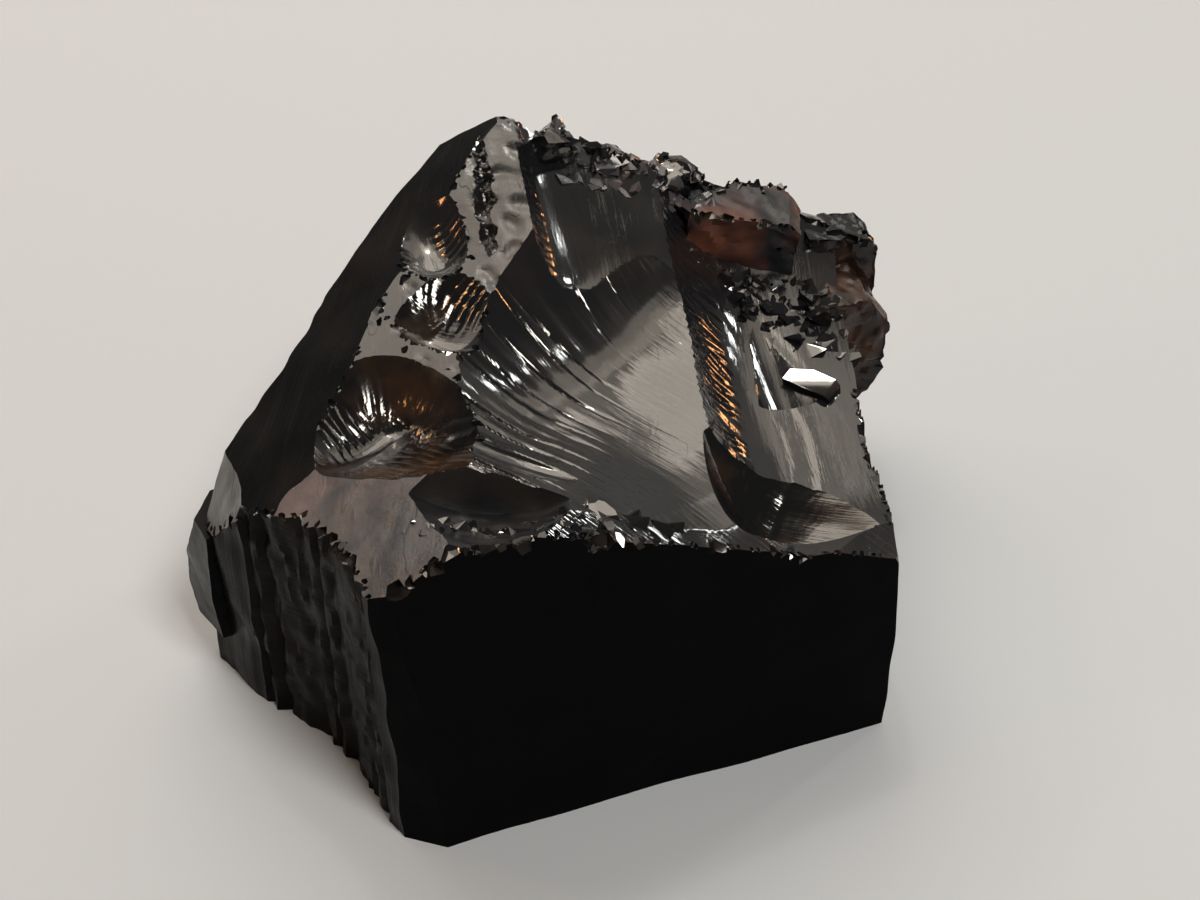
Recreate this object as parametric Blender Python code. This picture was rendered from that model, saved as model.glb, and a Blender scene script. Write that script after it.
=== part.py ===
"""A lump of elite shungite, the glassy, almost pure-carbon kind, as one closed solid standing on its flat base.

It is built the way the stone broke. A rough block is cleaved by flat fractures into its base, faces and bevels.
Shell-shaped (conchoidal) fractures then hollow the top, the left ridge and the sides, and they meet in sharp
ridges. Blocky spalls that stayed on the back corner are joined on last.

Run it with: blender --background --python part.py
All sizes below are millimetres in the stone's own frame: +Z up, +Y away from the front face, and the origin
in the middle of the flat base.
"""

import math

import bmesh
import bpy
from mathutils import Matrix, Vector

MM = 0.001
STONE_NAME = "shungite_stone"
ROUGH_BLOCK = 100.0

# Flat fractures that cleave the block: a point on each, and the way it faces.
FLATS = {
    "base": ((0, 0, 0), (0, 0, -1)),
    "front": ((-6.5, -24.1, 0), (0.349, -0.933, 0.07)),
    "near_corner": ((-9.8, -23.1, 1.5), (-0.30, -0.95, 0.02)),
    "left_front": ((-24.5, -6.8, 0), (-0.743, -0.67, 0.0)),
    "left_chip": ((-22.8, -4.6, 15.4), (-0.85, -0.25, 0.46)),
    "left_wall": ((-24.4, -6.8, 0), (-0.905, 0.418, 0.068)),
    "left_back": ((-15.5, 10.1, 22.5), (-0.82, 0.565, 0.07)),
    "left_slope": ((-15.0, -5.3, 21.0), (-0.51, -0.10, 0.856)),
    "left_bevel": ((-9.4, -16.4, 22.0), (-0.46, -0.19, 0.865)),
    "right_fall": ((12.6, -17.0, 17.4), (0.41, -0.20, 0.89)),
    "right": ((22.7, -13.2, 4.0), (0.998, 0.05, 0.01)),
    "right_chip": ((22.4, -13.4, 12.0), (0.86, -0.36, 0.36)),
    "back_left": ((-5.0, 18.2, 30.0), (-0.08, 0.97, 0.22)),
    "back_right": ((11.0, 22.6, 20.0), (0.10, 0.98, 0.15)),
    "crest_fall": ((1.0, 17.5, 28.2), (0.36, 0.25, 0.90)),
    "crown_top": ((0, 0, 29.9), (0, 0, 1)),
}

# Blocky spalls that stayed on the stone: the middle of each, its sizes, its turn in degrees about X, Y and Z,
# and the share of its half-size at which its corners broke off.
SPALLS = {
    "spall_brown": ((13.4, 17.8, 18.2), (8.4, 5.2, 10.0), (4, 6, -4), 1.25),
    "spall_far": ((21.0, 19.8, 15.2), (5.8, 5.2, 8.6), (-6, 4, 8), 1.22),
    "spall_low": ((20.4, 15.6, 11.4), (7.0, 7.4, 12.6), (4, 4, 14), 1.10),
    "knob_peak": ((-0.6, 17.4, 27.4), (3.0, 2.8, 3.6), (20, 15, 30), 1.05),
    "knob_crest_a": ((3.6, 18.4, 25.2), (4.4, 3.6, 3.4), (-15, 25, 10), 1.0),
    "knob_crest_b": ((8.2, 19.6, 23.2), (4.6, 3.8, 3.8), (10, -20, 35), 1.0),
    "left_bulge": ((-22.6, -5.9, 8.2), (4.2, 5.0, 9.0), (0, 4, 30), 1.15),
    "step_slab": ((18.2, 5.0, 14.8), (3.8, 1.7, 2.4), (17.7, 2.2, -37), 1.25),
}
CORNER_BREAKS = 7
GOLDEN_ANGLE = math.pi * (3 - math.sqrt(5))

# Curved fractures. at: the lowest point of the hollow; out: the way it faces; run: its direction.
# ahead, behind, left, right: how far each side reaches, how much it has risen there, and the power it rises by.
FRACTURES = {
    "flank_hollow": dict(
        at=(-14.0, -15.4, 9.0), out=(-0.743, -0.67, 0.0), run=(-0.67, 0.743, 0.0),
        ahead=(8.8, 2.0, 2), behind=(8.8, 2.0, 2), left=(14, 0.0, 2), right=(14, 0.0, 2),
        clear=16, cell=0.9, flutes=(2.3, 0.42),
    ),
    "crown": dict(
        at=(-6.0, -6.0, 22.5), out=(-0.1, 0.0, 1.0), run=(0, 1, 0),
        ahead=(24, 7.5, 1.4), behind=(12, 4.0, 1.6), left=(20, 0.0, 2), right=(20, 0.0, 2),
        clear=16, cell=2.0,
    ),
    "upper_slope": dict(
        at=(4.0, 11.0, 23.2), out=(0.28, -0.38, 0.88), run=(-0.24, 0.97, 0.4),
        ahead=(14, 0.0, 2), behind=(7, 2.0, 4), left=(6.8, 2.4, 5), right=(10, 0.4, 2),
        clear=14, cell=1.2,
    ),
    "central_fan": dict(
        at=(4.0, -6.0, 19.2), out=(0.046, 0.052, 1), run=(0.75, -0.66, 0),
        ahead=(14, -1.8, 3), behind=(12.6, 6.2, 3), left=(14, 1.9, 2.5), right=(9.5, 2.2, 1.6),
        clear=16, cell=1.1,
    ),
    "right_spoon": dict(
        at=(18.2, -3.0, 14.7), out=(0.0, 0.0, 1), run=(0.1, -1.0, 0),
        ahead=(10.5, 0.9, 3), behind=(15, 2.4, 2), left=(6, -1.1, 1.5), right=(8.4, 4.4, 3),
        clear=16, cell=1.1,
    ),
    "right_toe": dict(
        at=(14.3, -9.6, 12.8), out=(0.0, 0.0, 1), run=(0.92, -0.39, 0),
        ahead=(6.5, 2.2, 2), behind=(4.5, 4.0, 1.6), left=(4.6, 2.1, 1.1), right=(5.0, 5.0, 1.05),
        clear=14, cell=0.8, bend=0.06,
    ),
    "spoon_step": dict(
        at=(16.2, 2.9, 14.4), out=(0.0, 0.0, 1), run=(-0.25, 0.97, 0),
        ahead=(4.5, 1.5, 1), behind=(1.2, 2.0, 1.5), left=(2.2, 1.0, 2), right=(2.8, 1.0, 2),
        clear=8, cell=0.7,
    ),
    "scar_low": dict(
        at=(-10.6, -6.4, 18.7), out=(0.0, 0.0, 1), run=(-0.565, -0.825, 0),
        ahead=(6.8, 2.0, 2.2), behind=(3.8, 3.2, 2.6), left=(6.0, 2.4, 1.3), right=(4.5, 3.1, 2),
        clear=12, cell=0.9,
    ),
    "scar_middle": dict(
        at=(-8.0, -0.1, 22.0), out=(0.0, 0.0, 1), run=(0.9, -0.43, 0),
        ahead=(3.4, 1.0, 2.4), behind=(3.0, 1.3, 2.2), left=(4.6, 2.6, 1.5), right=(1.2, 0.9, 1.6),
        clear=12, cell=0.8,
    ),
    "scar_high": dict(
        at=(-8.5, 6.4, 23.9), out=(0.0, 0.0, 1), run=(-0.38, 0.92, 0),
        ahead=(6.2, 2.7, 2), behind=(2.4, 0.8, 1.8), left=(2.6, 1.3, 2), right=(2.6, 1.8, 2),
        clear=10, cell=0.6,
    ),
    "crown_fissure": dict(
        at=(-4.9, 10.5, 26.05), out=(-0.1, -0.38, 0.92), run=(-0.12, 1.0, 0.4),
        ahead=(7, 0.5, 2), behind=(3.6, 0.6, 2), left=(0.6, 0.6, 1.2), right=(0.6, 0.6, 1.2),
        clear=6, cell=0.6,
    ),
    "front_ledge": dict(
        at=(-3.4, -15.8, 20.8), out=(0.0, 0.0, 1), run=(1, 0.04, 0),
        ahead=(5.4, 1.5, 2.2), behind=(4.6, 1.6, 2.0), left=(1.1, 2.2, 1.2), right=(3.6, 1.2, 1.1),
        clear=10, cell=0.7,
    ),
    "lip_bevel": dict(
        at=(-0.4, -11.6, 20.9), out=(0.0, -0.1, 1), run=(0.93, -0.36, 0),
        ahead=(5.0, 0.6, 2), behind=(4.6, 0.7, 2), left=(1.0, 0.6, 1.6), right=(1.3, 0.5, 2),
        clear=8, cell=0.7,
    ),
    "left_hollow": dict(
        at=(-16.9, 3.6, 12.0), out=(-0.88, 0.45, 0.05), run=(0.5, 0.86, 0.3),
        ahead=(11, 2.0, 2), behind=(11, 2.0, 2), left=(14, 1.2, 2), right=(12, 1.8, 2),
        clear=14, cell=1.5,
    ),
    "right_hollow": dict(
        at=(21.2, -1.0, 5.0), out=(0.99, 0.06, 0.05), run=(0, 1, 0),
        ahead=(11, 1.3, 2), behind=(11, 1.3, 2), left=(8, 1.2, 2), right=(7, 1.2, 2),
        clear=12, cell=1.5,
    ),
    "back_hollow": dict(
        at=(4.0, 20.0, 12.0), out=(0.1, 0.98, 0.15), run=(1, 0, 0),
        ahead=(14, 3.0, 2), behind=(14, 3.0, 2), left=(12, 2.5, 2), right=(12, 2.5, 2),
        clear=16, cell=1.5,
    ),
}
GRID_MARGIN = 1.6


def unit(vector):
    return Vector(vector).normalized()


def local_frame(at, out, run):
    """The matrix of a fracture's own axes: X along its run, Y to its left, Z out of the stone."""
    z_axis = unit(out)
    x_axis = (Vector(run) - Vector(run).dot(z_axis) * z_axis).normalized()
    y_axis = z_axis.cross(x_axis)
    turn = Matrix((x_axis, y_axis, z_axis)).transposed().to_4x4()
    return Matrix.Translation(Vector(at)) @ turn


def finished(name, bm, placed, collection):
    """An object in metres from a bmesh drawn in millimetres in the frame `placed`."""
    bmesh.ops.transform(bm, matrix=Matrix.Scale(MM, 4) @ placed, verts=bm.verts[:])
    bmesh.ops.recalc_face_normals(bm, faces=bm.faces[:])
    mesh = bpy.data.meshes.new(name)
    bm.to_mesh(mesh)
    bm.free()
    made = bpy.data.objects.new(name, mesh)
    collection.objects.link(made)
    return made


def cleave(bm, point, facing):
    """Takes off what lies beyond a plane, and closes the cut."""
    cut = bmesh.ops.bisect_plane(
        bm,
        geom=bm.verts[:] + bm.edges[:] + bm.faces[:],
        plane_co=Vector(point),
        plane_no=unit(facing),
        clear_outer=True,
    )
    rim = [item for item in cut["geom_cut"] if isinstance(item, bmesh.types.BMEdge)]
    bmesh.ops.contextual_create(bm, geom=rim)


def cleaved_block(name, collection):
    """A cube cut by every flat fracture in turn."""
    bm = bmesh.new()
    bmesh.ops.create_cube(bm, size=ROUGH_BLOCK)
    for point, facing in FLATS.values():
        cleave(bm, point, facing)
    return finished(name, bm, Matrix.Identity(4), collection)


def broken_corners(count):
    """Directions spread evenly over a ball, one for each corner break."""
    for index in range(count):
        height = 1 - (2 * index + 1) / count
        across = math.sqrt(1 - height * height)
        yield Vector((across * math.cos(index * GOLDEN_ANGLE), across * math.sin(index * GOLDEN_ANGLE), height))


def spall(name, collection, middle, sizes, turn, corner_share):
    """A block that stayed on the stone where pieces around it broke away, with its own corners broken."""
    bm = bmesh.new()
    bmesh.ops.create_cube(bm, size=1.0)
    for facing in broken_corners(CORNER_BREAKS):
        cleave(bm, facing * corner_share / 2, facing)
    bmesh.ops.scale(bm, vec=sizes, verts=bm.verts[:])
    spin = [Matrix.Rotation(math.radians(angle), 4, axis) for angle, axis in zip(turn, "XYZ")]
    placed = Matrix.Translation(Vector(middle)) @ spin[2] @ spin[1] @ spin[0]
    return finished(name, bm, placed, collection)


def lift(distance, side):
    """How far a fracture has risen at a distance from its lowest point, on one side of it."""
    reach, rise, power = side
    return rise * (distance / reach) ** power


def fracture_cutter(
    name, collection, at, out, run, ahead, behind, left, right, clear, cell, flutes=(1, 0), bend=0.0
):
    """What broke away along one curved fracture, up to `clear` above its lowest point.

    flutes: the spacing and the depth of the uneven ripples that cross the run.
    bend: how fast the hollow's axis curves to the left, ahead of its lowest point and behind it.
    """
    bm = bmesh.new()
    spans = [(-GRID_MARGIN * low[0], GRID_MARGIN * high[0]) for low, high in ((behind, ahead), (right, left))]
    counts = [max(2, round((high - low) / cell)) for low, high in spans]
    bmesh.ops.create_grid(bm, x_segments=counts[0], y_segments=counts[1], size=1.0)
    for vert in bm.verts:
        u, v = (low + (high - low) * (part + 1) / 2 for (low, high), part in zip(spans, vert.co.xy))
        off_axis = v - bend * u * u
        rise = lift(abs(u), ahead if u > 0 else behind) + lift(abs(off_axis), left if off_axis > 0 else right)
        rise += flutes[1] * abs(math.sin(math.pi * u / flutes[0] + math.sin(u)))
        vert.co = (u, v, min(rise, clear - 0.5))
    lid = bmesh.ops.extrude_face_region(bm, geom=bm.faces[:])["geom"]
    for vert in lid:
        if isinstance(vert, bmesh.types.BMVert):
            vert.co.z = clear
    return finished(name, bm, local_frame(at, out, run), collection)


def combine(stone, tool, operation):
    """Joins a piece to the stone or cuts it away, and hides the piece itself."""
    step = stone.modifiers.new(tool.name, "BOOLEAN")
    step.operation = operation
    step.solver = "EXACT"
    step.object = tool
    tool.hide_render = True
    tool.display_type = "WIRE"


def shungite():
    """Near-black glassy carbon."""
    material = bpy.data.materials.new("shungite")
    material.use_nodes = True
    shader = material.node_tree.nodes["Principled BSDF"]
    shader.inputs["Base Color"].default_value = (0.012, 0.012, 0.013, 1)
    shader.inputs["Roughness"].default_value = 0.12
    return material


def main():
    for old in list(bpy.data.objects):
        bpy.data.objects.remove(old)
    stone_home = bpy.data.collections.new("Elite shungite")
    cutter_home = bpy.data.collections.new("Cutters")
    for home in (stone_home, cutter_home):
        bpy.context.scene.collection.children.link(home)
    cutter_home.hide_render = True
    stone = cleaved_block(STONE_NAME, stone_home)
    for name, shape in FRACTURES.items():
        combine(stone, fracture_cutter(name, cutter_home, **shape), "DIFFERENCE")
    for name, shape in SPALLS.items():
        combine(stone, spall(name, cutter_home, *shape), "UNION")
    stone.data.materials.append(shungite())


main()
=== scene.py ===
"""The looks of the elite shungite stone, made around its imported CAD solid.

The stone is broken again here along the same fractures as the CAD solid, but with fine sheets in place of
plain ones: joints that wave and grain, ripples and hackle lines on the shell-shaped fractures, ribs on the
steep walls, and small chips along the edges. The sheets lie on or inside the CAD surface. Rubble is joined
on top of it, but stays inside the box around the whole solid.

Shapes are in millimetres in the stone's own frame (+Z up, +Y away from the front face) until they become
meshes.
"""

import math

import bmesh
import bpy
import numpy as np
from mathutils import Matrix, Vector
from mathutils.bvhtree import BVHTree


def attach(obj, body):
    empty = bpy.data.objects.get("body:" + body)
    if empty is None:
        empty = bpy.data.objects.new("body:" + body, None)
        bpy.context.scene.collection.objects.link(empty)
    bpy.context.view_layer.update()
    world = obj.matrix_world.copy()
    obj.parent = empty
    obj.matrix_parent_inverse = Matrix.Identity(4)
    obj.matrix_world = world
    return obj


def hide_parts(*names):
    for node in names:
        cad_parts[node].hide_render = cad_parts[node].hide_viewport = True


MM = 0.001
ROUGH_BLOCK = 100.0
GRID_MARGIN = 1.6
SKIM_MARGIN = 1.5
GOLDEN_ANGLE = math.pi * (3 - math.sqrt(5))
SHARP_EDGE = math.radians(24)

# Flat fractures that cleave the block: a point on each, the way it faces, its material, its cell, the
# direction of its streaks, and its relief: waves (depth, length), streaks (depth, spacing) and grain
# (depth, length).
FLATS = {
    "base": dict(at=(0, 0, 0), out=(0, 0, -1)),
    "front": dict(
        at=(-6.5, -24.1, 0), out=(0.349, -0.933, 0.07), look="matt", cell=0.5,
        waves=(0.22, 11), grain=(0.02, 1.2), lead=(1, 0, 0.3), streaks=(0.04, 3.0),
    ),
    "near_corner": dict(
        at=(-9.8, -23.1, 1.5), out=(-0.30, -0.95, 0.02), look="matt", cell=0.5,
        waves=(0.15, 5), grain=(0.02, 1.0),
    ),
    "left_front": dict(
        at=(-24.5, -6.8, 0), out=(-0.743, -0.67, 0.0), look="satin", cell=0.4,
        waves=(0.25, 6), streaks=(0.12, 1.1),
    ),
    "left_chip": dict(
        at=(-22.8, -4.6, 15.4), out=(-0.85, -0.25, 0.46), look="joint", cell=0.4,
        waves=(0.2, 4), grain=(0.02, 0.8),
    ),
    "left_wall": dict(
        at=(-24.4, -6.8, 0), out=(-0.905, 0.418, 0.068), look="satin", cell=0.6,
        waves=(0.3, 9), streaks=(0.08, 1.6),
    ),
    "left_back": dict(
        at=(-15.5, 10.1, 22.5), out=(-0.82, 0.565, 0.07), look="satin", cell=0.6,
        waves=(0.3, 7), streaks=(0.08, 1.6),
    ),
    "left_slope": dict(
        at=(-15.0, -5.3, 21.0), out=(-0.51, -0.10, 0.856), look="satin", cell=0.35, waves=(0.20, 8),
        lead=(0.3, 1, 0), streaks=(0.05, 1.2),
    ),
    "left_bevel": dict(
        at=(-9.4, -16.4, 22.0), out=(-0.46, -0.19, 0.865), look="film", cell=0.25, waves=(0.07, 4),
        grain=(0.014, 0.8),
    ),
    "right_fall": dict(
        at=(12.6, -17.0, 17.4), out=(0.41, -0.20, 0.89), look="gloss", cell=0.3, waves=(0.1, 6),
    ),
    "right": dict(
        at=(22.7, -13.2, 4.0), out=(0.998, 0.05, 0.01), look="dusk", cell=0.6,
        waves=(0.3, 8), streaks=(0.1, 2.0),
    ),
    "right_chip": dict(
        at=(22.4, -13.4, 12.0), out=(0.86, -0.36, 0.36), look="gloss", cell=0.3, waves=(0.15, 4),
    ),
    "back_left": dict(
        at=(-5.0, 18.2, 30.0), out=(-0.08, 0.97, 0.22), look="dusk", cell=0.6,
        waves=(0.3, 9), streaks=(0.1, 2.2),
    ),
    "back_right": dict(
        at=(11.0, 22.6, 20.0), out=(0.10, 0.98, 0.15), look="dusk", cell=0.6,
        waves=(0.3, 7), streaks=(0.1, 2.0),
    ),
    "crest_fall": dict(
        at=(1.0, 17.5, 28.2), out=(0.36, 0.25, 0.90), look="gloss", cell=0.35,
        waves=(0.15, 3), grain=(0.05, 0.8),
    ),
    "crown_top": dict(
        at=(0, 0, 29.9), out=(0, 0, 1), look="joint", cell=0.3,
        waves=(0.1, 4), grain=(0.02, 0.8), lead=(0, 1, 0),
    ),
}

# Curved fractures. at: the lowest point of the hollow; out: the way it faces; run: its direction.
# ahead, behind, left, right: how far each side reaches, how much it has risen there, and the power that it
# rises by.
FRACTURES = {
    "flank_hollow": dict(
        at=(-14.0, -15.4, 9.0), out=(-0.743, -0.67, 0.0), run=(-0.67, 0.743, 0.0),
        ahead=(8.8, 2.0, 2), behind=(8.8, 2.0, 2), left=(14, 0.0, 2), right=(14, 0.0, 2),
        clear=16, cell=0.35, flutes=(2.3, 0.42), look="satin", detail="flutes",
    ),
    "crown": dict(
        at=(-6.0, -6.0, 22.5), out=(-0.1, 0.0, 1.0), run=(0, 1, 0),
        ahead=(24, 7.5, 1.4), behind=(12, 4.0, 1.6), left=(20, 0.0, 2), right=(20, 0.0, 2),
        clear=16, cell=0.3, look="joint", detail="joint",
    ),
    "upper_slope": dict(
        at=(4.0, 11.0, 23.2), out=(0.28, -0.38, 0.88), run=(-0.24, 0.97, 0.4),
        ahead=(14, 0.0, 2), behind=(7, 2.0, 4), left=(6.8, 2.4, 5), right=(10, 0.4, 2),
        clear=14, cell=0.25, look="gloss", detail="slope",
    ),
    "central_fan": dict(
        at=(4.0, -6.0, 19.2), out=(0.046, 0.052, 1), run=(0.75, -0.66, 0),
        ahead=(14, -1.8, 3), behind=(12.6, 6.2, 3), left=(14, 1.9, 2.5), right=(9.5, 2.2, 1.6),
        clear=16, cell=(0.36, 0.08), look="gloss", detail="fan",
    ),
    "right_spoon": dict(
        at=(18.2, -3.0, 14.7), out=(0.0, 0.0, 1), run=(0.1, -1.0, 0),
        ahead=(10.5, 0.9, 3), behind=(15, 2.4, 2), left=(6, -1.1, 1.5), right=(8.4, 4.4, 3),
        clear=16, cell=0.22, look="gloss", detail="spoon",
    ),
    "right_toe": dict(
        at=(14.3, -9.6, 12.8), out=(0.0, 0.0, 1), run=(0.92, -0.39, 0),
        ahead=(6.5, 2.2, 2), behind=(4.5, 4.0, 1.6), left=(4.6, 2.1, 1.1), right=(5.0, 5.0, 1.05),
        clear=14, cell=0.2, bend=0.06, look="ember", detail="toe",
    ),
    "spoon_step": dict(
        at=(16.2, 2.9, 14.4), out=(0.0, 0.0, 1), run=(-0.25, 0.97, 0),
        ahead=(4.5, 1.5, 1), behind=(1.2, 2.0, 1.5), left=(2.2, 1.0, 2), right=(2.8, 1.0, 2),
        clear=8, cell=0.2, look="gloss", detail="smooth",
    ),
    "scar_low": dict(
        at=(-10.6, -6.4, 18.7), out=(0.0, 0.0, 1), run=(-0.565, -0.825, 0),
        ahead=(6.8, 2.0, 2.2), behind=(3.8, 3.2, 2.6), left=(6.0, 2.4, 1.3), right=(4.5, 3.1, 2),
        clear=12, cell=0.16, look="ember", detail="scar",
    ),
    "scar_middle": dict(
        at=(-8.0, -0.1, 22.0), out=(0.0, 0.0, 1), run=(0.9, -0.43, 0),
        ahead=(3.4, 1.0, 2.4), behind=(3.0, 1.3, 2.2), left=(4.6, 2.6, 1.5), right=(1.2, 0.9, 1.6),
        clear=12, cell=0.2, look="ember", detail="scar",
    ),
    "scar_high": dict(
        at=(-8.5, 6.4, 23.9), out=(0.0, 0.0, 1), run=(-0.38, 0.92, 0),
        ahead=(6.2, 2.7, 2), behind=(2.4, 0.8, 1.8), left=(2.6, 1.3, 2), right=(2.6, 1.8, 2),
        clear=10, cell=0.2, look="gloss", detail="scar",
    ),
    "crown_fissure": dict(
        at=(-4.9, 10.5, 26.05), out=(-0.1, -0.38, 0.92), run=(-0.12, 1.0, 0.4),
        ahead=(7, 0.5, 2), behind=(3.6, 0.6, 2), left=(0.6, 0.6, 1.2), right=(0.6, 0.6, 1.2),
        clear=6, cell=0.16, look="gloss", detail="fissure",
    ),
    "front_ledge": dict(
        at=(-3.4, -15.8, 20.8), out=(0.0, 0.0, 1), run=(1, 0.04, 0),
        ahead=(5.4, 1.5, 2.2), behind=(4.6, 1.6, 2.0), left=(1.1, 2.2, 1.2), right=(3.6, 1.2, 1.1),
        clear=10, cell=0.2, look="dusk", detail="ledge",
    ),
    "lip_bevel": dict(
        at=(-0.4, -11.6, 20.9), out=(0.0, -0.1, 1), run=(0.93, -0.36, 0),
        ahead=(5.0, 0.6, 2), behind=(4.6, 0.7, 2), left=(1.0, 0.6, 1.6), right=(1.3, 0.5, 2),
        clear=8, cell=0.2, look="gloss", detail="smooth",
    ),
    "left_hollow": dict(
        at=(-16.9, 3.6, 12.0), out=(-0.88, 0.45, 0.05), run=(0.5, 0.86, 0.3),
        ahead=(11, 2.0, 2), behind=(11, 2.0, 2), left=(14, 1.2, 2), right=(12, 1.8, 2),
        clear=14, cell=0.5, look="dusk", detail="hollow",
    ),
    "right_hollow": dict(
        at=(21.2, -1.0, 5.0), out=(0.99, 0.06, 0.05), run=(0, 1, 0),
        ahead=(11, 1.3, 2), behind=(11, 1.3, 2), left=(8, 1.2, 2), right=(7, 1.2, 2),
        clear=12, cell=0.45, look="dusk", detail="hollow",
    ),
    "back_hollow": dict(
        at=(4.0, 20.0, 12.0), out=(0.1, 0.98, 0.15), run=(1, 0, 0),
        ahead=(14, 3.0, 2), behind=(14, 3.0, 2), left=(12, 2.5, 2), right=(12, 2.5, 2),
        clear=16, cell=0.5, look="dusk", detail="hollow",
    ),
}

# Blocky spalls that stayed on the stone: the middle of each, its sizes, its turn in degrees about X, Y and
# Z, the share of its half-size at which its corners broke off, its material, and how deep its faces are
# broken up.
SPALLS = {
    "spall_brown": ((13.4, 17.8, 18.2), (8.4, 5.2, 10.0), (4, 6, -4), 1.25, "brown", 0.2),
    "spall_far": ((21.0, 19.8, 15.2), (5.8, 5.2, 8.6), (-6, 4, 8), 1.22, "umber", 0.28),
    "spall_low": ((20.4, 15.6, 11.4), (7.0, 7.4, 12.6), (4, 4, 14), 1.10, "umber", 0.28),
    "knob_peak": ((-0.6, 17.4, 27.4), (3.0, 2.8, 3.6), (20, 15, 30), 1.05, "gloss", 0.2),
    "knob_crest_a": ((3.6, 18.4, 25.2), (4.4, 3.6, 3.4), (-15, 25, 10), 1.0, "gloss", 0.2),
    "knob_crest_b": ((8.2, 19.6, 23.2), (4.6, 3.8, 3.8), (10, -20, 35), 1.0, "gloss", 0.2),
    "left_bulge": ((-22.6, -5.9, 8.2), (4.2, 5.0, 9.0), (0, 4, 30), 1.15, "satin", 0.05),
    "step_slab": ((18.2, 5.0, 14.8), (3.8, 1.7, 2.4), (17.7, 2.2, -37), 1.25, "chip", 0.0),
}
CORNER_BREAKS = 7
# The edges of a spall are halved until they are shorter than the cell or it has this many faces.
SPALL_CELL = 0.5
SPALL_FACES = 6000

# Edges with small pieces broken out of them (DIFFERENCE) or left on them (UNION). A plan line from start to
# end is moved along `inward` until it meets the rim, which is where the stone above `low` turns level, or
# the crest, which is its highest place within `reach`. count: how many pieces; size: their usual size;
# spread: how far inward they scatter first; look: their material, where it isn't "chip".
EDGES = {
    "front_rim_left": dict(
        start=(-8.0, -24.8), end=(6.0, -19.6), inward=(-0.349, 0.933), low=15, count=20, size=1.3,
    ),
    "front_rim_right": dict(
        start=(6.0, -19.6), end=(21.6, -13.8), inward=(-0.349, 0.933), low=10, count=24, size=0.7,
    ),
    "bevel_rim": dict(
        start=(-23.6, -7.8), end=(-10.4, -23.4), inward=(0.743, 0.67), low=13, count=26, size=1.0,
    ),
    "left_crest": dict(
        start=(-18.0, -6.0), end=(-9.0, 16.0), inward=(0.9, -0.4), low=None, count=26, size=0.7,
    ),
    "scar_rims": dict(
        start=(-11.5, 1.5), end=(-5.0, 0.0), inward=(-0.1, -1.0), low=None, count=16, size=0.7, spread=0.8,
    ),
    "scar_top_rims": dict(
        start=(-11.0, 6.6), end=(-5.5, 6.4), inward=(0.0, -1.0), low=None, count=16, size=0.7, spread=0.8,
    ),
    "scar_right_rims": dict(
        start=(-7.0, -11.0), end=(-7.4, 2.0), inward=(1.0, 0.0), low=None, count=20, size=0.6, spread=0.6,
    ),
    "ledge_rim": dict(
        start=(-8.2, -19.6), end=(2.5, -18.6), inward=(-0.1, 1.0), low=None,
        count=30, size=1.0, operation="UNION",
        reach=0.0, spread=1.6, look="gloss",
    ),
    "back_crest": dict(
        start=(-1.0, 19.6), end=(18.0, 21.0), inward=(0.0, -1.0), low=None,
        count=40, size=1.0, operation="UNION",
        look="gloss",
    ),
    "crest_rubble": dict(
        start=(-0.5, 18.2), end=(10.5, 19.5), inward=(0.25, -1.0), low=None,
        count=70, size=1.1, operation="UNION",
        reach=0.0, spread=3.2, look="film",
    ),
    "ledge_chips": dict(
        start=(2.4, -18.2), end=(7.5, -17.0), inward=(-0.349, 0.933), low=None, count=12, size=1.5,
        operation="UNION", reach=0.0, spread=2.4, look="gloss",
    ),
    "right_rim": dict(
        start=(25.0, 5.0), end=(24.0, -10.0), inward=(-1.0, 0.0), low=10, count=26, size=1.0,
    ),
    "block_chips": dict(
        start=(17.6, 16.0), end=(24.4, 17.0), inward=(0.0, 1.0), low=None, count=16, size=1.3,
    ),
    "back_crest_chips": dict(
        start=(-4.0, 20.5), end=(19.0, 22.0), inward=(0.0, -1.0), low=None, count=40, size=0.8,
    ),
    "notch_rubble": dict(
        start=(12.0, 14.6), end=(20.5, 13.4), inward=(0.25, -1.0), low=None,
        count=64, size=1.7, operation="UNION",
        reach=0.0, spread=5.5, look="gloss",
    ),
    "brown_foot": dict(
        start=(9.6, 15.0), end=(18.0, 14.8), inward=(0.0, -1.0), low=None,
        count=26, size=0.8, operation="UNION",
        reach=0.0, spread=0.8,
    ),
    "brown_rim": dict(
        start=(9.6, 14.0), end=(17.6, 14.0), inward=(0.0, 1.0), low=21, count=14, size=0.9,
    ),
}
EDGE_REACH = 6.0
EDGE_STEP = 0.1
EDGE_LEVEL = 0.2
CHIP_GROUPS = 3
CHIP_CORNERS = 0.8
# A piece left on the stone sinks by this share of its size, tilts within this many degrees, and keeps this
# share of its size below the top of the stone.
CHIP_SUNK = 0.35
CHIP_TILT = 110
CHIP_HEIGHT = 0.9
STONE_TOP = 29.8
# A closed body with fewer points than this is a crumb.
CRUMB_POINTS = 100


def unit(vector):
    return Vector(vector).normalized()


# ---------------------------------------------------------------- random and relief

def knots(column, row, seed):
    """A repeatable value from 0 to 1 for each whole-number place."""
    mixed = (column * 374761393 + row * 668265263 + seed * 2246822519) & 0xFFFFFFFF
    mixed = ((mixed ^ (mixed >> 13)) * 1274126177) & 0xFFFFFFFF
    return ((mixed ^ (mixed >> 16)) & 0xFFFF) / 0xFFFF


def ease(share):
    """A smooth step that also starts and ends with no curvature."""
    return share * share * share * (share * (share * 6 - 15) + 10)


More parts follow.
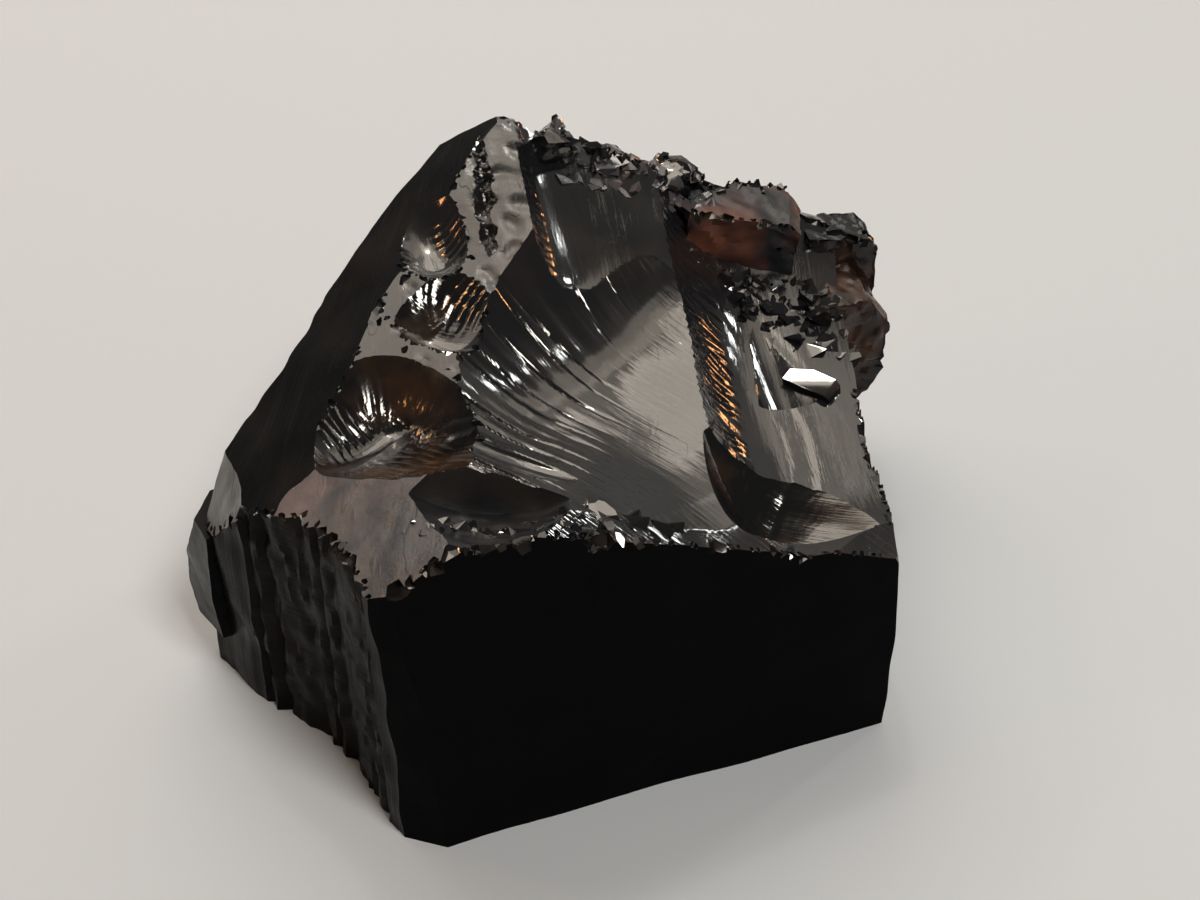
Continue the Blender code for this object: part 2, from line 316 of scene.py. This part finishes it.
def noise(x, y, seed):
    """Smooth gradient noise from about -1 to 1, one knot for each unit."""
    column, row = np.floor(x).astype(np.int64), np.floor(y).astype(np.int64)
    along, up = x - column, y - row
    total = np.zeros_like(along)
    for right in (0, 1):
        for top in (0, 1):
            angle = knots(column + right, row + top, seed) * math.tau
            weight = ease(1 - np.abs(along - right)) * ease(1 - np.abs(up - top))
            total += weight * ((along - right) * np.cos(angle) + (up - top) * np.sin(angle))
    return total * 1.5


def layered(x, y, seed, octaves=3):
    """Noise with finer and weaker noise on it."""
    return sum(noise(x * 2**n, y * 2**n, seed + 31 * n) / 2**n for n in range(octaves))


def band(value, start, end):
    """0 before start, 1 after end, and smooth between."""
    return ease(np.clip((value - start) / (end - start), 0, 1))


def ridges(x, y, seed):
    """Sharp crests with rounded troughs between them, from 0 to 1."""
    return 1 - np.minimum(1, np.abs(noise(x, y, seed)) * 2.2)


# ---------------------------------------------------------------- what each kind of fracture carries
# Each function takes places in the fracture's own frame, in mm, and gives how far the stone stands up there.

def joint_detail(u, v):
    """A flat joint: gentle waves, small scallops and faint cracks across it."""
    cracks = band(ridges((u + 0.5 * v) / 1.5, (v - 0.5 * u) / 6, 5), 0.93, 1.0)
    scallops = band(noise(u / 1.4, v / 1.4, 6), 0.25, 0.5)
    waves = 0.09 * noise(u / 4, v / 4, 1) + 0.01 * layered(u / 1.1, v / 1.1, 2)
    return waves - 0.05 * cracks - 0.10 * scallops


def flutes_detail(u, v):
    """Ragged ribs that run up the face, and break off at different heights."""
    warped = u + 0.8 * noise(u / 3, v / 3, 13)
    return 0.20 * ridges(warped / 1.5, v / 5, 11) + 0.12 * layered(u / 0.9, v / 2.2, 12)


def slope_detail(u, v):
    """A smooth mirror with a few faint steps, and a ribbed wall on its left."""
    wall = band(v, 4.6, 5.8)
    ribs = wall * np.abs(np.sin(math.pi * (u + 0.4 * noise(u / 2, v, 23)) / 0.7))
    return 0.12 * noise(u / 7, v / 4, 21) + 0.03 * noise(u / 3.5, v / 0.8, 22) + 0.15 * ribs


def fan_detail(u, v):
    """Hackle lines that gather as they run ahead, and slow ripples across them."""
    across = v * (1 + 0.03 * u) + 0.012 * u * u
    strong = band(-u - 0.7 * v, -2, 9)
    hackles = noise(across / 0.95, u / 22, 31) * (0.008 + 0.13 * strong)
    lines = band(ridges(across / 1.4, u / 26, 33), 0.80, 1.0) * (0.008 + 0.15 * strong)
    return hackles - lines + 0.20 * noise(u / 6, v / 6, 34)


def spoon_detail(u, v):
    """Long low steps along the floor, and ribs across the steep wall on the right."""
    wall = band(-v, 4.6, 6.4)
    ribs = np.abs(np.sin(math.pi * (u - 0.3 * v + 0.7 * noise(u / 2, v / 3, 41)) / 1.0))
    streak = v + 0.02 * u * u + 0.4 * noise(u / 9, v / 9, 42)
    steps = 0.08 * band(streak, -2.6, -2.2) + 0.06 * band(streak, -1.0, -0.5) + 0.05 * band(streak, 2.0, 2.6)
    lines = 0.02 * noise(streak / 0.9, u / 20, 43)
    return 0.22 * wall * ribs + (1 - wall) * (lines + steps) + 0.08 * noise(u / 7, v / 5, 44)


def toe_detail(u, v):
    """Fine ribs up the broad wall of the crescent, strongest at its near end."""
    inner = band(v, 0.4, 1.6) * (0.10 + 0.90 * band(-u, -1.0, 3.0))
    ribs = np.abs(np.sin(math.pi * (u - 0.35 * v + 0.5 * noise(u / 2, v / 2, 45)) / 0.6))
    return 0.11 * inner * ribs + 0.05 * noise(u / 3, v / 1.5, 46)


def scar_detail(u, v):
    """Thin ribs that run down the walls of the hollow, and fan out behind its lowest point."""
    walls = band(np.hypot(v, np.minimum(u, 0)), 0.5, 1.8) * band(noise(u / 2.5, v / 2.5, 54), -0.8, 0.2)
    place = np.where(u > 0, u, 4 * np.arctan2(u, np.abs(v) + 0.3))
    ribs = np.abs(np.sin(math.pi * (place - 0.2 * v + 0.5 * noise(u / 3, v / 4, 51)) / 0.7))
    return 0.14 * walls * ribs + 0.10 * noise(u / 4, v / 3, 53)


def fissure_detail(u, v):
    """A torn floor, along a line that wanders and closes up in places."""
    wander = 0.7 * v * noise(u / 1.6, u * 0, 62)
    rough = 0.30 * np.abs(layered(u / 0.9, v / 0.9, 61))
    return rough + wander + 0.45 * band(noise(u / 2.2, u * 0, 63), -0.2, 0.6)


def smooth_detail(u, v):
    """A clean facet with the faintest of waves."""
    return 0.03 * noise(u / 3, v / 2, 75)


def ledge_detail(u, v):
    """Small steps along the ledge."""
    return 0.10 * noise(u / 4, v / 0.9, 71) + 0.06 * noise(u / 1.2, v / 1.2, 72)


def hollow_detail(u, v):
    """Slow rings around the place where the fracture began, and hackle lines that spread from it."""
    away, turn = np.hypot(u + 13, v + 6), np.arctan2(v + 6, u + 13)
    rings = 0.10 * np.sin(away * 1.9 + 2 * noise(u / 4, v / 4, 81))
    hackles = 0.10 * band(noise(turn * 3, away / 8, 83), -0.3, 0.5) * ridges(turn * 14, away / 9, 84)
    return rings + hackles + 0.12 * layered(u / 4, v / 4, 82)


DETAILS = {
    "joint": joint_detail,
    "flutes": flutes_detail,
    "slope": slope_detail,
    "fan": fan_detail,
    "spoon": spoon_detail,
    "toe": toe_detail,
    "scar": scar_detail,
    "fissure": fissure_detail,
    "ledge": ledge_detail,
    "smooth": smooth_detail,
    "hollow": hollow_detail,
}


# ---------------------------------------------------------------- sheets, blocks and chips

def local_frame(at, out, run):
    """The matrix of a fracture's own axes: X along its run, Y to its left, Z out of the stone."""
    z_axis = unit(out)
    x_axis = (Vector(run) - Vector(run).dot(z_axis) * z_axis).normalized()
    y_axis = z_axis.cross(x_axis)
    turn = Matrix((x_axis, y_axis, z_axis)).transposed().to_4x4()
    return Matrix.Translation(Vector(at)) @ turn


def finished(name, bm, placed, material=None):
    """An object in metres from a bmesh drawn in millimetres in the frame `placed`."""
    bmesh.ops.transform(bm, matrix=Matrix.Scale(MM, 4) @ placed, verts=bm.verts[:])
    # Known fault: in metres this turns two of the spalls inside out, left_bulge and spall_brown.
    bmesh.ops.recalc_face_normals(bm, faces=bm.faces[:])
    mesh = bpy.data.meshes.new(name)
    bm.to_mesh(mesh)
    bm.free()
    if material:
        mesh.materials.append(material)
    made = bpy.data.objects.new(name, mesh)
    bpy.context.scene.collection.objects.link(made)
    return made


def sheet(name, placed, us, vs, heights, clear, material):
    """A closed body between a rough sheet and a flat lid `clear` above it. us runs along the first axis."""
    columns, rows = len(us), len(vs)
    grid_u, grid_v = np.meshgrid(us, vs, indexing="ij")
    low = np.stack([grid_u, grid_v, heights], axis=-1).reshape(-1, 3)
    index = np.arange(columns * rows).reshape(columns, rows)
    quads = np.stack([index[:-1, :-1], index[:-1, 1:], index[1:, 1:], index[1:, :-1]], axis=-1).reshape(-1, 4)
    rim = np.concatenate([index[:-1, 0], index[-1, :-1], index[:0:-1, -1], index[0, :0:-1]])
    lid = low[rim].copy()
    lid[:, 2] = clear
    top = columns * rows + np.arange(len(rim))
    walls = np.stack([rim, np.roll(rim, -1), np.roll(top, -1), top], axis=-1)
    points = np.concatenate([low, lid]) @ np.array(placed.to_3x3()).T + np.array(placed.translation)
    mesh = bpy.data.meshes.new(name)
    mesh.from_pydata((points * MM).tolist(), [], quads.tolist() + walls.tolist() + [top.tolist()])
    flow = mesh.uv_layers.new(name="flow")
    corners = np.zeros(len(mesh.loops), dtype=np.int32)
    mesh.loops.foreach_get("vertex_index", corners)
    places = np.concatenate([low[:, :2], lid[:, :2]])[corners]
    flow.data.foreach_set("uv", places.astype(np.float32).ravel())
    mesh.materials.append(material)
    made = bpy.data.objects.new(name, mesh)
    bpy.context.scene.collection.objects.link(made)
    return made


def spaced(low, high, cell):
    return np.linspace(low, high, max(3, round((high - low) / cell) + 1))


def cleave(bm, point, facing):
    """Takes off what lies beyond a plane, and closes the cut."""
    cut = bmesh.ops.bisect_plane(
        bm,
        geom=bm.verts[:] + bm.edges[:] + bm.faces[:],
        plane_co=Vector(point),
        plane_no=unit(facing),
        clear_outer=True,
    )
    rim = [item for item in cut["geom_cut"] if isinstance(item, bmesh.types.BMEdge)]
    bmesh.ops.contextual_create(bm, geom=rim)


def cleaved_block(name, material):
    """A cube cut by every flat fracture in turn."""
    bm = bmesh.new()
    bmesh.ops.create_cube(bm, size=ROUGH_BLOCK)
    for flat in FLATS.values():
        cleave(bm, flat["at"], flat["out"])
    return finished(name, bm, Matrix.Identity(4), material)


def skim(
    name, block_corners, material, at, out, cell, waves=(0, 1), streaks=(0, 1), grain=(0, 1), lead=(0, 0, 1)
):
    """Gives a flat fracture its relief: a thin rough layer that comes off the block's face."""
    placed = local_frame(at, out, lead)
    local = np.array([placed.inverted() @ corner for corner in block_corners])
    face = local[np.abs(local[:, 2]) < 0.01]
    (low_u, low_v), (high_u, high_v) = face[:, :2].min(axis=0), face[:, :2].max(axis=0)
    us = spaced(low_u - SKIM_MARGIN, high_u + SKIM_MARGIN, cell)
    vs = spaced(low_v - SKIM_MARGIN, high_v + SKIM_MARGIN, cell)
    u, v = np.meshgrid(us, vs, indexing="ij")
    seed = sum(map(ord, name))
    relief = waves[0] * layered(u / waves[1], v / waves[1], seed, 2)
    relief += streaks[0] * noise(v / streaks[1], u / (8 * streaks[1]), seed + 7)
    relief += grain[0] * layered(u / grain[1], v / grain[1], seed + 3)
    return sheet(name, placed, us, vs, relief - relief.max() - 0.01, 2.0, material)


def lift(distance, side):
    """How far a fracture has risen at a distance from its lowest point, on one side of it."""
    reach, rise, power = side
    return rise * (distance / reach) ** power


def fracture(
    name, material, detail, at, out, run, ahead, behind, left, right, clear, cell, flutes=(1, 0), bend=0.0
):
    """What broke away along one curved fracture, up to `clear` above its lowest point."""
    cell_u, cell_v = cell if isinstance(cell, tuple) else (cell, cell)
    us = spaced(-GRID_MARGIN * behind[0], GRID_MARGIN * ahead[0], cell_u)
    vs = spaced(-GRID_MARGIN * right[0], GRID_MARGIN * left[0], cell_v)
    u, v = np.meshgrid(us, vs, indexing="ij")
    off_axis = v - bend * u * u
    far_u, far_v = np.abs(u), np.abs(off_axis)
    rise = np.where(u > 0, lift(far_u, ahead), lift(far_u, behind))
    rise += np.where(off_axis > 0, lift(far_v, left), lift(far_v, right))
    rise += flutes[1] * np.abs(np.sin(math.pi * u / flutes[0] + np.sin(u)))
    rise += DETAILS[detail](u, v)
    return sheet(name, local_frame(at, out, run), us, vs, np.minimum(rise, clear - 0.5), clear, material)


def broken_corners(count):
    """Directions spread evenly over a ball, one for each corner break."""
    for index in range(count):
        height = 1 - (2 * index + 1) / count
        across = math.sqrt(1 - height * height)
        turn = index * GOLDEN_ANGLE
        yield Vector((across * math.cos(turn), across * math.sin(turn), height))


def broken_block(bm, sizes, corner_share):
    """A box with its own corners broken off."""
    bmesh.ops.create_cube(bm, size=1.0)
    for facing in broken_corners(CORNER_BREAKS):
        cleave(bm, facing * corner_share / 2, facing)
    bmesh.ops.scale(bm, vec=sizes, verts=bm.verts[:])


def turned(angles):
    spin = [Matrix.Rotation(math.radians(angle), 4, axis) for angle, axis in zip(angles, "XYZ")]
    return spin[2] @ spin[1] @ spin[0]


def roughened(bm, relief, seed):
    """Breaks up the plain faces of a block: small steps and lumps, all of them inward."""
    bmesh.ops.triangulate(bm, faces=bm.faces[:])
    while len(bm.faces) < SPALL_FACES:
        long_edges = [edge for edge in bm.edges if edge.calc_length() > SPALL_CELL]
        if not long_edges:
            break
        bmesh.ops.subdivide_edges(bm, edges=long_edges, cuts=1)
        bmesh.ops.triangulate(bm, faces=bm.faces[:])
    bm.normal_update()
    places = np.array([vert.co for vert in bm.verts])
    across, up = places[:, 0] + 0.6 * places[:, 1], places[:, 2] + 0.5 * places[:, 1]
    lumps = layered(across / 1.6, up / 1.6, seed, 3)
    steps = np.abs(noise(across / 2.6, up / 1.1, seed + 5))
    depth = relief * np.clip(0.5 - lumps + steps, 0, 2)
    for vert, inward in zip(bm.verts, depth):
        vert.co -= vert.normal * inward


def spall(name, middle, sizes, turn, corner_share, material, relief):
    """A block that stayed on the stone where pieces around it broke away."""
    bm = bmesh.new()
    broken_block(bm, sizes, corner_share)
    if relief:
        roughened(bm, relief, sum(map(ord, name)))
    return finished(name, bm, Matrix.Translation(Vector(middle)) @ turned(turn), material)


def edge_place(tree, start, inward, low, reach):
    """The rim or the crest of the stone along a plan line that starts outside it."""
    best = previous = None
    for step in range(round(reach / EDGE_STEP) + 1):
        spot = start + inward * (step * EDGE_STEP)
        hit = tree.ray_cast(Vector((*spot, ROUGH_BLOCK)) * MM, Vector((0, 0, -1)))[0]
        if hit is None:
            continue
        if low is not None:
            if hit.z / MM > low and previous is not None and (hit.z - previous) / MM < EDGE_LEVEL:
                return hit / MM
            previous = hit.z
        if low is None and (best is None or hit.z > best.z):
            best = hit
    return best / MM if best else None


def edge_pieces(
    name, tree, material, start, end, inward, low, count, size,
    operation="DIFFERENCE", reach=EDGE_REACH, spread=0.0,
):
    """Small broken blocks set along an edge, in bodies whose own pieces stay clear of each other."""
    groups = [bmesh.new() for _ in range(CHIP_GROUPS)]
    seed = sum(map(ord, name))
    inward = Vector(inward)
    for index in range(count):
        share = (index + knots(index, 0, seed)) / count
        line_start = Vector(start).lerp(Vector(end), share) + inward * spread * knots(index, 5, seed)
        place = edge_place(tree, line_start, inward, low, reach)
        if place is None:
            continue
        one = bmesh.new()
        grow = size * (0.45 + 0.8 * knots(index, 1, seed) ** 2)
        broken_block(one, (grow * 1.5, grow, grow * 0.7), CHIP_CORNERS)
        if operation == "UNION":
            tilts = [CHIP_TILT * (knots(index, axis, seed) - 0.5) for axis in (2, 3)]
            place.z = min(place.z - grow * CHIP_SUNK, STONE_TOP - grow * CHIP_HEIGHT)
        else:
            tilts = [360 * knots(index, axis, seed) for axis in (2, 3)]
        spin = turned((*tilts, 360 * knots(index, 4, seed)))
        bmesh.ops.transform(one, matrix=Matrix.Translation(place) @ spin, verts=one.verts[:])
        piece = bpy.data.meshes.new("piece")
        one.to_mesh(piece)
        one.free()
        groups[index % CHIP_GROUPS].from_mesh(piece)
        bpy.data.meshes.remove(piece)
    return [
        (finished(f"{name}_{number}", group, Matrix.Identity(4), material), operation)
        for number, group in enumerate(groups)
    ]


def combine(stone, tool, operation):
    """Joins a piece to the stone or cuts it away, and keeps the piece's material on its own faces."""
    step = stone.modifiers.new(tool.name, "BOOLEAN")
    step.operation = operation
    step.solver = "MANIFOLD"
    step.material_mode = "TRANSFER"
    step.object = tool


def applied(stone, tools):
    """Combines the stone with its tools, in order, and takes the tools away."""
    for tool, operation in tools:
        combine(stone, tool, operation)
    view = bpy.context.evaluated_depsgraph_get()
    made = bpy.data.meshes.new_from_object(
        stone.evaluated_get(view), preserve_all_data_layers=True, depsgraph=view
    )
    stone.modifiers.clear()
    stone.data = made
    for tool, _ in tools:
        bpy.data.objects.remove(tool)


def drop_crumbs(mesh):
    """Takes away the tiny closed bodies that the cuts have freed, and leaves every larger one."""
    bm = bmesh.new()
    bm.from_mesh(mesh)
    seen = set()
    crumbs = []
    for start in bm.verts:
        if start in seen:
            continue
        seen.add(start)
        body = [start]
        for vertex in body:
            for edge in vertex.link_edges:
                other = edge.other_vert(vertex)
                if other not in seen:
                    seen.add(other)
                    body.append(other)
        if len(body) < CRUMB_POINTS:
            crumbs += body
    bmesh.ops.delete(bm, geom=crumbs, context="VERTS")
    bm.to_mesh(mesh)
    bm.free()


def without_look(shape):
    """The values of a shape without the name of its material."""
    return {key: value for key, value in shape.items() if key != "look"}


def broken_stone(looks):
    """The whole stone, broken along every fracture in turn."""
    stone = cleaved_block("stone_surface", looks["matt"])
    corners = [vertex.co / MM for vertex in stone.data.vertices]
    tools = []
    for name, flat in FLATS.items():
        if "look" in flat:
            tools.append((skim(name, corners, looks[flat["look"]], **without_look(flat)), "DIFFERENCE"))
    for name, shape in FRACTURES.items():
        broken = fracture(name, material=looks[shape["look"]], **without_look(shape))
        tools.append((broken, "DIFFERENCE"))
    for name, (middle, sizes, turn, share, look, relief) in SPALLS.items():
        tools.append((spall(name, middle, sizes, turn, share, looks[look], relief), "UNION"))
    applied(stone, tools)
    tree = BVHTree.FromObject(stone, bpy.context.evaluated_depsgraph_get())
    tools = []
    for name, shape in EDGES.items():
        tools += edge_pieces(name, tree, looks[shape.get("look", "chip")], **without_look(shape))
    applied(stone, tools)
    drop_crumbs(stone.data)
    stone.data.shade_smooth()
    stone.data.set_sharp_from_angle(angle=SHARP_EDGE)
    return stone


# ---------------------------------------------------------------- materials

def node(tree, kind, inputs=None, **settings):
    """A shader node with its settings, and its inputs set or linked."""
    made = tree.nodes.new("ShaderNode" + kind)
    for name, value in settings.items():
        setattr(made, name, value)
    for name, value in (inputs or {}).items():
        if isinstance(value, bpy.types.NodeSocket):
            tree.links.new(value, made.inputs[name])
        else:
            made.inputs[name].default_value = value
    return made


def carbon(
    name, roughness, ior, hackle, grain, crazing=0.0, tint=(0.10, 0.055, 0.032), tint_share=0.5, black=0.010
):
    """Glassy carbon. roughness is (smooth, rough); hackle, grain and crazing are heights in mm."""
    material = bpy.data.materials.new(name)
    material.use_nodes = True
    tree = material.node_tree
    shader = tree.nodes["Principled BSDF"]
    place = node(tree, "TexCoord").outputs["Object"]
    flow = node(tree, "UVMap", uv_map="flow").outputs["UV"]
    streak_place = node(tree, "Mapping", {"Vector": flow, "Scale": (0.25, 3.2, 1.0)}).outputs["Vector"]
    streaks = node(tree, "TexNoise", {"Vector": streak_place, "Scale": 1.0, "Detail": 3.0, "Roughness": 0.6})
    fine = node(tree, "TexNoise", {"Vector": place, "Scale": 3500.0, "Detail": 3.0, "Roughness": 0.6})
    patches = node(tree, "TexNoise", {"Vector": place, "Scale": 170.0, "Detail": 4.0, "Roughness": 0.55})
    first = node(tree, "Bump", {"Height": streaks.outputs["Fac"], "Strength": 1.0, "Distance": hackle * MM})
    second = node(
        tree, "Bump",
        {"Height": fine.outputs["Fac"], "Strength": 1.0, "Distance": grain * MM,
         "Normal": first.outputs["Normal"]},
    )
    stretched = node(
        tree, "Mapping", {"Vector": place, "Rotation": (0.2, 0.3, 0.5), "Scale": (1.0, 0.3, 1.0)}
    )
    veins = node(tree, "TexNoise", {"Vector": stretched.outputs["Vector"], "Scale": 700.0, "Detail": 2.0})
    off_vein = node(tree, "MapRange", {"Value": veins.outputs["Fac"], "From Min": 0.58, "From Max": 0.60})
    third = node(
        tree, "Bump",
        {"Height": off_vein.outputs["Result"], "Strength": 1.0, "Distance": crazing * MM,
         "Normal": second.outputs["Normal"]},
    )
    dull = node(
        tree, "MapRange",
        {"Value": patches.outputs["Fac"], "From Min": 0.35, "From Max": 0.7,
         "To Min": roughness[0], "To Max": roughness[1]},
    )
    stain = node(
        tree, "MapRange",
        {"Value": patches.outputs["Fac"], "From Min": 0.48, "From Max": 0.75,
         "To Min": 0.0, "To Max": tint_share},
    )
    colour = node(
        tree, "Mix",
        {"Factor": stain.outputs["Result"], "A": (black, black, black * 1.1, 1), "B": (*tint, 1)},
        data_type="RGBA",
    )
    tree.links.new(third.outputs["Normal"], shader.inputs["Normal"])
    tree.links.new(dull.outputs["Result"], shader.inputs["Roughness"])
    tree.links.new(colour.outputs["Result"], shader.inputs["Base Color"])
    shader.inputs["IOR"].default_value = ior
    shader.inputs["Specular Tint"].default_value = (1.0, 0.93, 0.84, 1)
    return material


def all_looks():
    """Every surface of the stone, by name: its roughness, its index of refraction and its relief."""
    values = {
        "gloss": dict(
            roughness=(0.05, 0.16), ior=1.95, hackle=0.025, grain=0.002, crazing=0.002, tint_share=0.1,
        ),
        "ember": dict(
            roughness=(0.08, 0.18), ior=1.9, hackle=0.02, grain=0.002,
            tint=(0.07, 0.03, 0.012), tint_share=1.0, black=0.005,
        ),
        "joint": dict(roughness=(0.18, 0.34), ior=1.58, hackle=0.008, grain=0.008, crazing=0.010),
        "dusk": dict(roughness=(0.24, 0.40), ior=1.5, hackle=0.02, grain=0.008, tint_share=0.15),
        "film": dict(
            roughness=(0.22, 0.42), ior=1.85, hackle=0.008, grain=0.018, crazing=0.008,
            tint=(0.20, 0.13, 0.115), tint_share=1.0, black=0.05,
        ),
        "satin": dict(
            roughness=(0.26, 0.42), ior=1.14, hackle=0.04, grain=0.014, tint_share=0.1, black=0.004,
        ),
        "matt": dict(roughness=(0.55, 0.70), ior=1.10, hackle=0.01, grain=0.01, tint_share=0.0, black=0.003),
        "brown": dict(
            roughness=(0.35, 0.50), ior=1.45, hackle=0.03, grain=0.006,
            tint=(0.20, 0.065, 0.035), tint_share=1.0, black=0.02,
        ),
        "umber": dict(
            roughness=(0.14, 0.34), ior=1.4, hackle=0.02, grain=0.005,
            tint=(0.08, 0.03, 0.014), tint_share=1.0, black=0.008,
        ),
        "chip": dict(roughness=(0.05, 0.12), ior=1.95, hackle=0.003, grain=0.001),
    }
    return {name: carbon("shungite_" + name, **look) for name, look in values.items()}


# ---------------------------------------------------------------- studio

CAMERA_AT = (3.0, -93.3, 86.2)
CAMERA_DOWN = 38.0
FOCAL_PIXELS = 1700.0
IMAGE_WIDTH = 1200.0
SENSOR = 36.0
# Upright panels of a window on the far side: the azimuth of each in degrees to the left, and its radiance.
PANELS = ((54, 0.9), (37, 1.9), (20, 1.1), (2, 2.1), (-15, 0.5), (-31, 0.7))
GLOW_MIDDLE = (0.0, 0.88, 0.47)
GLOW_SPAN = (0.40, 1.0)
GLOW_LEVEL = (0.05, 0.26)


def camera():
    data = bpy.data.cameras.new("camera")
    data.sensor_width = SENSOR
    data.lens = SENSOR * FOCAL_PIXELS / IMAGE_WIDTH
    data.clip_start = 0.005
    made = bpy.data.objects.new("camera", data)
    made.location = Vector(CAMERA_AT) * MM
    made.rotation_euler = (math.radians(90 - CAMERA_DOWN), 0, 0)
    bpy.context.scene.collection.objects.link(made)
    bpy.context.scene.camera = made


def area_light(name, azimuth, elevation, distance, width, height, radiance, colour=(1, 1, 1)):
    """A soft box that faces the stone. azimuth is in degrees from the far side, towards the left."""
    data = bpy.data.lights.new(name, "AREA")
    data.shape = "RECTANGLE"
    data.size = width
    data.size_y = height
    data.energy = radiance * math.pi * width * height
    data.color = colour
    made = bpy.data.objects.new(name, data)
    turn, tilt = math.radians(azimuth), math.radians(elevation)
    away = Vector((-math.sin(turn) * math.cos(tilt), math.cos(turn) * math.cos(tilt), math.sin(tilt)))
    made.location = away * distance + Vector((0, 0, 0.015))
    made.rotation_euler = away.to_track_quat("Z", "Y").to_euler()
    made.visible_camera = False
    bpy.context.scene.collection.objects.link(made)


def room():
    """A dim room with a soft glow on its far side."""
    world = bpy.data.worlds.new("room")
    world.use_nodes = True
    tree = world.node_tree
    direction = node(tree, "TexCoord").outputs["Generated"]
    facing = node(tree, "VectorMath", {0: direction, 1: unit(GLOW_MIDDLE)}, operation="DOT_PRODUCT")
    glow = node(
        tree, "MapRange",
        {"Value": facing.outputs["Value"], "From Min": GLOW_SPAN[0], "From Max": GLOW_SPAN[1],
         "To Min": GLOW_LEVEL[0], "To Max": GLOW_LEVEL[1]},
        interpolation_type="SMOOTHSTEP",
    )
    background = tree.nodes["Background"]
    background.inputs["Color"].default_value = (1.0, 0.98, 0.95, 1)
    tree.links.new(glow.outputs["Result"], background.inputs["Strength"])
    bpy.context.scene.world = world


def studio():
    for index, (azimuth, radiance) in enumerate(PANELS):
        area_light(f"panel_{index}", azimuth, 50, 0.45, 0.125, 0.36, radiance, (1.0, 0.95, 0.88))
    area_light("fill", -140, 58, 0.80, 0.22, 0.22, 21.0)
    area_light("glint", 12, 66, 0.60, 0.03, 0.03, 60.0)
    area_light("glint_right", -48, 34, 0.60, 0.03, 0.05, 40.0, (0.85, 0.93, 1.0))
    area_light("lamp_right", -48, 8, 0.60, 0.05, 0.04, 22.0, (1.0, 0.48, 0.20))
    area_light("lamp", 70, 40, 0.60, 0.04, 0.04, 25.0, (1.0, 0.55, 0.25))
    area_light("lamp_low", 104, 24, 0.60, 0.05, 0.04, 18.0, (1.0, 0.45, 0.18))
    room()
    bpy.context.scene.view_settings.view_transform = "Standard"


def floor():
    """A plain pale floor, wide enough to fill every view."""
    bm = bmesh.new()
    bmesh.ops.create_grid(bm, x_segments=1, y_segments=1, size=2.0)
    mesh = bpy.data.meshes.new("floor")
    bm.to_mesh(mesh)
    bm.free()
    material = bpy.data.materials.new("floor")
    material.use_nodes = True
    shader = material.node_tree.nodes["Principled BSDF"]
    shader.inputs["Base Color"].default_value = (0.68, 0.675, 0.66, 1)
    shader.inputs["Roughness"].default_value = 0.8
    shader.inputs["Specular IOR Level"].default_value = 0.2
    mesh.materials.append(material)
    made = bpy.data.objects.new("floor", mesh)
    bpy.context.scene.collection.objects.link(made)


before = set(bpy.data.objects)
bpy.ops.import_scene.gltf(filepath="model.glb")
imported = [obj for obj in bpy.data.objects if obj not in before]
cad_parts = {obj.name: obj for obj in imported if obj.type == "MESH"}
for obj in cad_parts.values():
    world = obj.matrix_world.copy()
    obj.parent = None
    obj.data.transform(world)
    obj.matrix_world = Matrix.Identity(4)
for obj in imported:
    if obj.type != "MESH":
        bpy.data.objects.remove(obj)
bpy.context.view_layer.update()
stone = broken_stone(all_looks())
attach(stone, "root")
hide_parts("shungite_stone")
floor()
studio()
camera()
